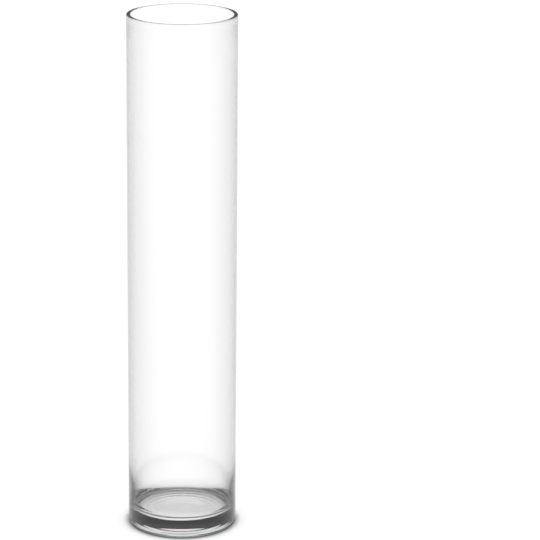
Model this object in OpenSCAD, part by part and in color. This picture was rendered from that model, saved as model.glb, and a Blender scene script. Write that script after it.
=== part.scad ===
// Tall clear glass cylinder vase, blown as one piece of glass: a thin straight wall that
// thickens to a flat polished lip, and a heavy floor with a full, rounded inner corner
// and a very shallow punt underneath.
// Millimetres, +Z up. The origin is the centre of the ring that the vase stands on.

/* [Body] */
// Outside diameter of the cylinder
outer_d = 127; // [110:1:200]
// Height from the standing ring to the lip
height = 610; // [300:1:800]
// Thickness of the straight wall
wall_t = 2.5; // [2:0.5:4]

/* [Lip] */
// Thickness of the wall at the lip
lip_t = 5.5; // [4.5:0.5:8]
// Radius of the polished inner and outer edges of the lip
lip_edge_r = 1.2; // [0.4:0.1:1.8]
// Height of the straight mouth just below the lip
lip_land = 5; // [2:0.5:15]
// Height over which the thick lip fades into the wall
lip_taper_h = 50; // [20:1:90]

/* [Base] */
// Thickness of the floor at its centre
floor_t = 18; // [8:0.5:25]
// How far the floor's edge rises above its centre
floor_rise = 0.5; // [0.25:0.25:4]
// How far the inner corner curve reaches in across the floor
corner_w = 14; // [8:0.5:30]
// How far the inner corner curve reaches up the wall
corner_h = 14; // [10:1:90]
// Radius of the outer bottom edge
heel_r = 4; // [1:0.5:6]
// Diameter of the shallow hollow (punt) under the base
punt_d = 100; // [40:1:110]
// Depth of the punt at its centre
punt_depth = 0.5; // [0.25:0.25:3]

/* [Hidden] */
outer_r = outer_d / 2;
bore_r = outer_r - wall_t;
mouth_r = outer_r - lip_t;
floor_r = bore_r - corner_w;
punt_r = punt_d / 2;
lip_low_z = height - lip_edge_r - lip_land;
// Powers of the curves: 2 is a parabola, more is flatter in the middle
taper_power = 2;
floor_power = 6;
punt_power = 3;
lip_arc_steps = 6;
taper_steps = 12;
heel_arc_steps = 8;
punt_steps = 10;
floor_steps = 10;
corner_steps = 16;
$fn = 180;

// Points of a round edge about [r, z], from one angle to the other
function edge_points(r, z, edge_r, from, to, steps) = [
    for (i = [0:steps])
        let (a = from + (to - from) * i / steps)
        [r + edge_r * cos(a), z + edge_r * sin(a)]
];

// The underside of the punt, a shallow dome from the axis out to the standing ring
function punt_points() = [
    for (i = [0:punt_steps])
        let (f = i / punt_steps)
        [punt_r * f, punt_depth * (1 - pow(f, punt_power))]
];

// Inside the lip, from the straight mouth down to the straight wall
function taper_points() = [
    for (i = [0:taper_steps])
        let (f = i / taper_steps)
        [bore_r - (lip_t - wall_t) * pow(1 - f, taper_power), lip_low_z - lip_taper_h * f]
];

// The inner corner, a quarter of an ellipse from the straight wall down to the floor
function corner_points() = [
    for (i = [0:corner_steps])
        let (a = 90 * i / corner_steps)
        [bore_r - corner_w * (1 - cos(a)), floor_t + floor_rise + corner_h * (1 - sin(a))]
];

// The dished floor, from the corner in to the axis
function floor_points() = [
    for (i = [1:floor_steps])
        let (f = 1 - i / floor_steps)
        [floor_r * f, floor_t + floor_rise * pow(f, floor_power)]
];

// Half section of the glass: underside, heel, outside, lip, inside and floor, in turn
function glass_section() = concat(
    punt_points(),
    edge_points(outer_r - heel_r, heel_r, heel_r, -90, 0, heel_arc_steps),
    edge_points(outer_r - lip_edge_r, height - lip_edge_r, lip_edge_r, 0, 90, lip_arc_steps),
    edge_points(mouth_r + lip_edge_r, height - lip_edge_r, lip_edge_r, 90, 180, lip_arc_steps),
    taper_points(),
    corner_points(),
    floor_points()
);

module vase_body() {
    color([0.88, 0.92, 0.91, 0.45])
        rotate_extrude()
            polygon(glass_section());
}

vase_body();
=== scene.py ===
"""Clear glass cylinder vase: one turned mesh, slightly uneven as blown glass is, for the CAD solid."""

import math

import bmesh
import bpy
from mathutils import Matrix, Vector


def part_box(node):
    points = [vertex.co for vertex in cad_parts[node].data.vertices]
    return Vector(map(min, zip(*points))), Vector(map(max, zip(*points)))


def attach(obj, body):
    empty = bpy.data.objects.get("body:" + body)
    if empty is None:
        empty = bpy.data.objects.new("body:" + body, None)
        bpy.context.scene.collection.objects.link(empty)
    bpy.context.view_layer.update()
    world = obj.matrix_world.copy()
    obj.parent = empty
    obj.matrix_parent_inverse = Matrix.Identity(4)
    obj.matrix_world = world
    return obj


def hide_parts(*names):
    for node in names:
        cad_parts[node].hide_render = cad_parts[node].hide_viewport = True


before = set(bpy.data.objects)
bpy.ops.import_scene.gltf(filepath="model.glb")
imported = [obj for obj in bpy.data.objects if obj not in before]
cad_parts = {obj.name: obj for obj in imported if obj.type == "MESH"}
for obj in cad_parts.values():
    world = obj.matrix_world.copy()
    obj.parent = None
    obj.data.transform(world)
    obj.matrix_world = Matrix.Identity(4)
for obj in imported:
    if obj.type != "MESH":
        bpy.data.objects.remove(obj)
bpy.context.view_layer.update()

# ---------------------------------------------------------------- sizes, in metres, as in the CAD model
CAD_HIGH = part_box("vase_body")[1]
HEIGHT = CAD_HIGH.z
OUTER_R = CAD_HIGH.x
WALL_T = 0.0025
LIP_T = 0.0055
LIP_EDGE_R = 0.0012
LIP_LAND = 0.005
LIP_TAPER_H = 0.050
FLOOR_T = 0.018
FLOOR_RISE = 0.0005
CORNER_W = 0.014
CORNER_H = 0.014
HEEL_R = 0.004
PUNT_R = 0.050
PUNT_DEPTH = 0.0005
BORE_R = OUTER_R - WALL_T
MOUTH_R = OUTER_R - LIP_T
LIP_LOW_Z = HEIGHT - LIP_EDGE_R - LIP_LAND
TAPER_POWER = 2
FLOOR_POWER = 6
PUNT_POWER = 3

# ---------------------------------------------------------------- camera
CAMERA_BACK = 4.93 * HEIGHT
CAMERA_UP = 1.97 * HEIGHT
AIM = Vector((0.167 * HEIGHT, 0, 0.506 * HEIGHT))
LENS_MM = 180.3
SENSOR_MM = 36


def add_camera():
    """A long lens at the photograph's viewpoint, aimed so that the vase stands left of the middle."""
    cam = bpy.data.objects.new("camera", bpy.data.cameras.new("camera"))
    bpy.context.scene.collection.objects.link(cam)
    cam.data.lens = LENS_MM
    cam.data.sensor_width = SENSOR_MM
    cam.location = (0, -CAMERA_BACK, CAMERA_UP)
    forward = (AIM - cam.location).normalized()
    up = Vector((1, 0, 0)).cross(forward).normalized()
    cam.rotation_euler = Matrix((forward.cross(up), up, -forward)).transposed().to_euler()
    bpy.context.scene.camera = cam


add_camera()


# ---------------------------------------------------------------- section of the glass
def span(start, end, rows):
    """Points from start to end, with start left out."""
    (r0, z0), (r1, z1) = start, end
    return [(r0 + (r1 - r0) * i / rows, z0 + (z1 - z0) * i / rows) for i in range(1, rows + 1)]


def edge(r, z, radius, from_deg, to_deg, rows):
    """Points of a round edge about (r, z), both ends left in."""
    angles = [math.radians(from_deg + (to_deg - from_deg) * i / rows) for i in range(rows + 1)]
    return [(r + radius * math.cos(a), z + radius * math.sin(a)) for a in angles]


# ---------------------------------------------------------------- unevenness left by hand and mould
CORNER_W_WAVES = [(1, 0.7, 0.05), (2, 2.1, 0.05), (3, 0.4, 0.04), (5, 1.9, 0.02)]
CORNER_H_WAVES = [(1, 3.9, 0.08), (2, 0.9, 0.07), (4, 2.6, 0.04), (7, 0.3, 0.02)]
FLOOR_WAVES = [(1, 5.0, 0.3), (2, 1.2, 0.3), (3, 3.3, 0.2)]
FLOOR_WAVE = 0.0003
CHILL_R = 0.030
CHILL_LENGTH = 0.0075
CHILL_DEPTH = 0.0002


def waves(turn, terms):
    """A sum of sine waves around the vase; terms are (how many, phase, share)."""
    return sum(share * math.sin(count * turn + phase) for count, phase, share in terms)


def chill(r):
    """Height of the ring marks left under the base by the mould."""
    if r < CHILL_R:
        return 0
    return CHILL_DEPTH * (1 - math.cos(2 * math.pi * (r - CHILL_R) / CHILL_LENGTH)) / 2


# ---------------------------------------------------------------- stretches of the section, in turn
PUNT_ROWS = 20
RING_ROWS = 4
HEEL_ROWS = 14
WALL_ROWS = 50
LIP_ROWS = 8
TAPER_ROWS = 20
BORE_ROWS = 46
CORNER_ROWS = 56
FLOOR_ROWS = 30
# Below this height the outer wall has finer rows, for the change of painted edge shade near the table
FINE_Z = 0.12


def punt_points(rows):
    """The underside, from just off the axis out to the standing ring."""
    radii = [PUNT_R * i / rows for i in range(1, rows + 1)]
    return [(r, PUNT_DEPTH * (1 - (r / PUNT_R) ** PUNT_POWER) + chill(r)) for r in radii]


def taper_points(rows):
    """Inside the lip, from the straight mouth down to the straight wall."""
    steps = [i / rows for i in range(rows + 1)]
    thick = LIP_T - WALL_T
    return [(BORE_R - thick * (1 - f) ** TAPER_POWER, LIP_LOW_Z - LIP_TAPER_H * f) for f in steps]


def corner_points(rows, turn):
    """The inner corner, a quarter of an ellipse from the straight wall down to the floor."""
    width = CORNER_W * (1 + waves(turn, CORNER_W_WAVES))
    height = CORNER_H * (1 + waves(turn, CORNER_H_WAVES))
    points = []
    for i in range(rows + 1):
        a = math.radians(90 * i / rows)
        z = FLOOR_T + FLOOR_RISE + height * (1 - math.sin(a))
        points.append((BORE_R - width * (1 - math.cos(a)), z))
    return points


def floor_points(rows, edge_r, turn):
    """The dished floor, from the corner in to just off the axis."""
    steps = [1 - i / rows for i in range(1, rows)]
    lift = FLOOR_WAVE * waves(turn, FLOOR_WAVES)
    bend = [FLOOR_RISE * f ** FLOOR_POWER + 4 * lift * f * f * (1 - f) for f in steps]
    return [(edge_r * f, FLOOR_T + z) for f, z in zip(steps, bend)]


def outside_points():
    """Underside, heel, wall and the outer edge of the lip, in turn."""
    lip_z = HEIGHT - LIP_EDGE_R
    return (
        punt_points(PUNT_ROWS)
        + span((PUNT_R, 0), (OUTER_R - HEEL_R, 0), RING_ROWS)[:-1]
        + edge(OUTER_R - HEEL_R, HEEL_R, HEEL_R, -90, 0, HEEL_ROWS)
        + span((OUTER_R, HEEL_R), (OUTER_R, FINE_Z), WALL_ROWS)
        + span((OUTER_R, FINE_Z), (OUTER_R, lip_z), WALL_ROWS)
        + edge(OUTER_R - LIP_EDGE_R, lip_z, LIP_EDGE_R, 0, 90, LIP_ROWS)[1:]
    )


def inside_points(turn):
    """Inner edge of the lip, mouth, wall, corner and floor, in turn."""
    corner = corner_points(CORNER_ROWS, turn)
    taper = taper_points(TAPER_ROWS)
    return (
        edge(MOUTH_R + LIP_EDGE_R, HEIGHT - LIP_EDGE_R, LIP_EDGE_R, 90, 180, LIP_ROWS)
        + taper
        + span(taper[-1], corner[0], BORE_ROWS)[:-1]
        + corner
        + floor_points(FLOOR_ROWS, corner[-1][0], turn)
    )


# ---------------------------------------------------------------- the glass mesh
SEGMENTS = 192
# How strongly the outer face takes the painted edge shade, by height in metres: most just above the thick
# base, painted as the darker studio near the table
EDGE_SHADE_WEIGHTS = [
    (0, 1.2),
    (0.02, 1.25),
    (0.034, 1.6),
    (0.046, 1.75),
    (0.056, 1.6),
    (0.066, 1.3),
    (0.076, 1.1),
    (0.09, 1),
]


def outside_weight(z):
    """The strength of the painted edge shade at a height, between the listed heights in proportion."""
    for (z0, weight0), (z1, weight1) in zip(EDGE_SHADE_WEIGHTS, EDGE_SHADE_WEIGHTS[1:]):
        if z < z1:
            return weight0 + (weight1 - weight0) * (z - z0) / (z1 - z0)
    return EDGE_SHADE_WEIGHTS[-1][1]


def vase_mesh(name):
    """The closed glass mesh, whose points on the outer face carry an attribute above 0: the weight of the
    painted edge shade.
    """
    bm = bmesh.new()
    layer = bm.verts.layers.float.new("outside")
    outer = outside_points()
    columns = []
    for turn in [2 * math.pi * s / SEGMENTS for s in range(SEGMENTS)]:
        section = outer + inside_points(turn)
        column = [bm.verts.new((r * math.cos(turn), r * math.sin(turn), z)) for r, z in section]
        for vert, (_, z) in zip(column, outer):
            # The outer face's points carry the weight of the painted edge shade
            vert[layer] = outside_weight(z)
        columns.append(column)
    bottom = bm.verts.new((0, 0, PUNT_DEPTH))
    bottom[layer] = outside_weight(0)
    top = bm.verts.new((0, 0, FLOOR_T))
    for here, after in zip(columns, columns[1:] + columns[:1]):
        bm.faces.new((bottom, after[0], here[0]))
        for i in range(len(here) - 1):
            bm.faces.new((here[i], after[i], after[i + 1], here[i + 1]))
        bm.faces.new((here[-1], after[-1], top))
    mesh = bpy.data.meshes.new(name)
    bm.to_mesh(mesh)
    bm.free()
    mesh.shade_smooth()
    obj = bpy.data.objects.new(name, mesh)
    bpy.context.scene.collection.objects.link(obj)
    return obj


vase = vase_mesh("vase_glass")


# ---------------------------------------------------------------- glass material
def ramp_node(tree, value, stops):
    """A ramp of greys fed by value; stops are (position, grey), the first at 0 and the last at 1."""
    node = tree.nodes.new("ShaderNodeValToRGB")
    elements = node.color_ramp.elements
    for position, grey in stops[1:-1]:
        elements.new(position).color = (grey, grey, grey, 1)
    for element, grey in ((elements[0], stops[0][1]), (elements[-1], stops[-1][1])):
        element.color = (grey, grey, grey, 1)
    tree.links.new(value, node.inputs[0])
    return node


def math_node(tree, operation, first, second):
    """A maths node; first and second are sockets or plain numbers."""
    node = tree.nodes.new("ShaderNodeMath")
    node.operation = operation
    for socket, value in zip(node.inputs, (first, second)):
        if isinstance(value, (int, float)):
            socket.default_value = value
        else:
            tree.links.new(value, socket)
    return node.outputs[0]


LIP_FLAT_Z = HEIGHT - LIP_EDGE_R / 8
RING_FLAT_Z = HEEL_R / 100
LIP_ROUGH = 0.22
RING_ROUGH = 0.35
RING_GRAIN = 400.0


def rough_node(tree):
    """Polished glass, but satin on the flat of the lip and scuffed in spots on the standing ring."""
    place = tree.nodes.new("ShaderNodeTexCoord")
    parts = tree.nodes.new("ShaderNodeSeparateXYZ")
    tree.links.new(place.outputs["Object"], parts.inputs[0])
    grain = tree.nodes.new("ShaderNodeTexNoise")
    grain.inputs["Scale"].default_value = RING_GRAIN
    tree.links.new(place.outputs["Object"], grain.inputs["Vector"])
    on_lip = math_node(tree, "GREATER_THAN", parts.outputs["Z"], LIP_FLAT_Z)
    on_ring = math_node(tree, "LESS_THAN", parts.outputs["Z"], RING_FLAT_Z)
    scuffs = math_node(tree, "MULTIPLY", grain.outputs["Fac"], on_ring)
    ring = math_node(tree, "MULTIPLY", scuffs, RING_ROUGH)
    lip = math_node(tree, "MULTIPLY", on_lip, LIP_ROUGH)
    return math_node(tree, "ADD", lip, ring)


GLASS_IOR = 1.52
# Painted shade: greys by how shallow the outer face is seen, a stand-in for a dark-edged studio, not a
# property of glass
PAINTED_EDGE_SHADE = [(0, 1), (0.2, 0.9), (0.5, 0.65), (0.8, 0.26), (1, 0.02)]
ABSORPTION_COLOUR = (0.895, 0.9, 0.898, 1)
ABSORPTION = 24.0


def glass_material():
    """Clear glass with painted shade: its colour greys where the outer face is seen at a shallow angle,
    most just above the base.
    """
    mat = bpy.data.materials.new("clear_glass")
    mat.use_nodes = True
    tree = mat.node_tree
    shader = tree.nodes["Principled BSDF"]
    shader.inputs["IOR"].default_value = GLASS_IOR
    shader.inputs["Transmission Weight"].default_value = 1.0
    tree.links.new(rough_node(tree), shader.inputs["Roughness"])
    facing = tree.nodes.new("ShaderNodeLayerWeight")
    outside = tree.nodes.new("ShaderNodeAttribute")
    outside.attribute_name = "outside"
    # Painted edge shade: how shallow the outer face is seen, times its weight by height, picks a grey for
    # the base colour
    shallow = math_node(tree, "MULTIPLY", facing.outputs["Facing"], outside.outputs["Fac"])
    painted_grey = ramp_node(tree, shallow, PAINTED_EDGE_SHADE)
    tree.links.new(painted_grey.outputs["Color"], shader.inputs["Base Color"])
    absorb = tree.nodes.new("ShaderNodeVolumeAbsorption")
    absorb.inputs["Color"].default_value = ABSORPTION_COLOUR
    absorb.inputs["Density"].default_value = ABSORPTION
    tree.links.new(absorb.outputs["Volume"], tree.nodes["Material Output"].inputs["Volume"])
    return mat


vase.data.materials.append(glass_material())
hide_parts("vase_body")
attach(vase, "root")

# ---------------------------------------------------------------- floor and light
STAGE_R = 30.0
STAGE_SIDES = 96
# The stage lies this much below the standing ring, so that the two never share a plane
STAGE_GAP = 0.0002
FLOOR_ALBEDO = 0.5
FLOOR_ROUGH = 0.6
FLOOR_GLOW = 1.0
# Glow of the floor by distance from the axis in metres: a painted contact shadow around the vase, a little
# dimmer under it
SHADE = [(0, 0.95), (0.055, 0.91), (0.0615, 0.02), (0.0645, 0.4), (0.07, 0.85), (0.08, 0.97), (0.12, 1)]
WORLD_STRENGTH = 1.09
# Greys of the studio by the sine of the height above the horizon
STUDIO = [(0, 1), (0.13, 1), (0.17, 0.02), (0.88, 0.02), (0.97, 0.55), (1, 0.55)]
BOUNCES = 24


def floor_material():
    """A pale matt floor that glows like a light table, with a painted contact shadow in a ring where the
    vase meets it.
    """
    mat = bpy.data.materials.new("floor")
    mat.use_nodes = True
    tree = mat.node_tree
    shader = tree.nodes["Principled BSDF"]
    shader.inputs["Base Color"].default_value = (FLOOR_ALBEDO, FLOOR_ALBEDO, FLOOR_ALBEDO, 1)
    shader.inputs["Roughness"].default_value = FLOOR_ROUGH
    shader.inputs["Specular IOR Level"].default_value = 0.0
    place = tree.nodes.new("ShaderNodeTexCoord")
    radius = tree.nodes.new("ShaderNodeVectorMath")
    radius.operation = "LENGTH"
    tree.links.new(place.outputs["Object"], radius.inputs[0])
    share = math_node(tree, "DIVIDE", radius.outputs["Value"], SHADE[-1][0])
    # Painted contact shadow: the glow dims by distance from the axis
    glow = ramp_node(tree, share, [(r / SHADE[-1][0], grey) for r, grey in SHADE])
    tree.links.new(glow.outputs["Color"], shader.inputs["Emission Color"])
    shader.inputs["Emission Strength"].default_value = FLOOR_GLOW
    return mat


def add_floor():
    """A wide flat disc under the vase."""
    turns = [2 * math.pi * i / STAGE_SIDES for i in range(STAGE_SIDES)]
    corners = [(STAGE_R * math.cos(a), STAGE_R * math.sin(a), -STAGE_GAP) for a in turns]
    mesh = bpy.data.meshes.new("floor")
    mesh.from_pydata(corners, [], [tuple(range(STAGE_SIDES))])
    mesh.materials.append(floor_material())
    floor = bpy.data.objects.new("floor", mesh)
    bpy.context.scene.collection.objects.link(floor)


def add_studio():
    """A plain studio of soft light, bright at the horizon and dark above, with bounces enough for glass."""
    world = bpy.data.worlds.new("studio")
    world.use_nodes = True
    tree = world.node_tree
    direction = tree.nodes.new("ShaderNodeTexCoord")
    parts = tree.nodes.new("ShaderNodeSeparateXYZ")
    tree.links.new(direction.outputs["Generated"], parts.inputs[0])
    greys = ramp_node(tree, parts.outputs["Z"], STUDIO)
    greys.color_ramp.interpolation = "EASE"
    tree.links.new(greys.outputs["Color"], tree.nodes["Background"].inputs["Color"])
    tree.nodes["Background"].inputs["Strength"].default_value = WORLD_STRENGTH
    scene = bpy.context.scene
    scene.world = world
    scene.view_settings.view_transform = "Standard"
    scene.cycles.max_bounces = BOUNCES
    scene.cycles.transmission_bounces = BOUNCES
    scene.cycles.glossy_bounces = BOUNCES


add_floor()
add_studio()
